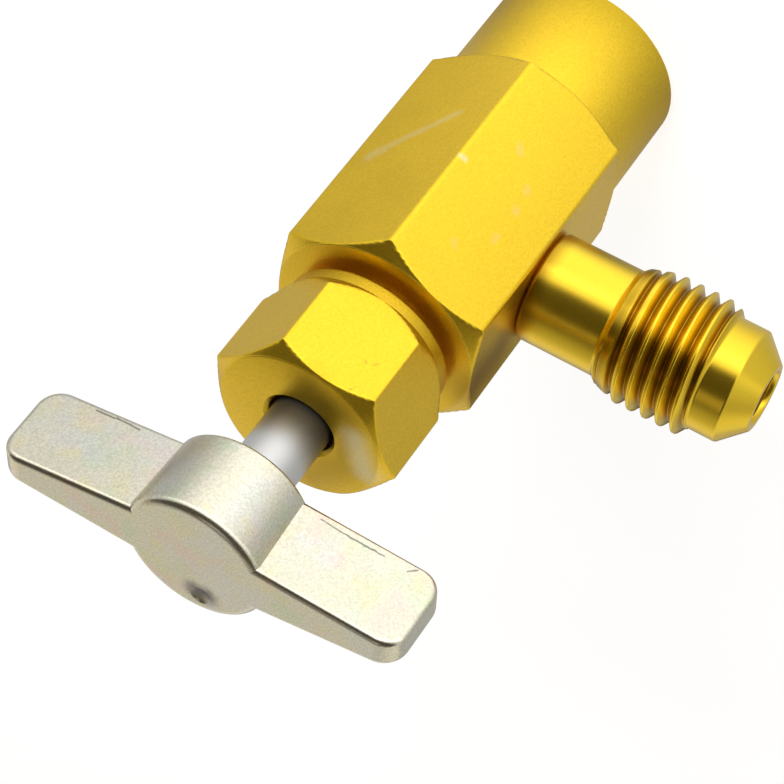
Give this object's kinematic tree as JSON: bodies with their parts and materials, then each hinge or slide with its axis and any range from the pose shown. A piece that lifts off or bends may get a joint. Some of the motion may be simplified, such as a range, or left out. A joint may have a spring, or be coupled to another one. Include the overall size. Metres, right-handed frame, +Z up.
{
  "type": "refrigerant can tap",
  "caption": "Hexagonal can tap valve with a wing handle on a screw spindle, a gland nut and a threaded flare side port.",
  "frame": {"origin": "centre of the can-side mouth, in the plane of its rim", "axes": "+Z up the spindle axis towards the handle, +X along the side port, pointing out of it"},
  "size_m": [0.045, 0.0196, 0.0592],
  "materials": {
    "gold_satin": "gold anodised over a fine blasted surface",
    "gold_bright": "gold anodised, bright turned",
    "zinc": "cast, zinc plated with a pale iridescent passivate",
    "steel": "ground, plated",
    "brass": "turned",
    "ptfe": "moulded, plain",
    "rubber": "moulded, matt"
  },
  "bodies": {
    "tap": {"valve_body": "gold_satin", "side_port": "gold_bright", "gland_nut": "gold_satin", "packing_washer": "brass", "stem_packing": "ptfe", "gland_follower": "brass", "can_gasket": "rubber"},
    "seat": {"seat_washer": "ptfe"},
    "screw": {"spindle": "steel", "piercing_needle": "steel", "wing_handle": "zinc"}
  },
  "joints": [
    {"name": "spindle_travel", "type": "slide", "parent": "tap", "child": "seat", "axis": [0, 0, 1], "range_m": [-0.006, 0.002]},
    {"name": "spindle_turn", "type": "hinge", "parent": "seat", "child": "screw", "pos_m": [0, 0, 0.02], "axis": [0, 0, 1], "range_deg": [-2160, 720]}
  ],
  "couplings": [
    {"joint": "spindle_travel", "follows": "spindle_turn", "m_per_rad": 0.00015915}
  ]
}
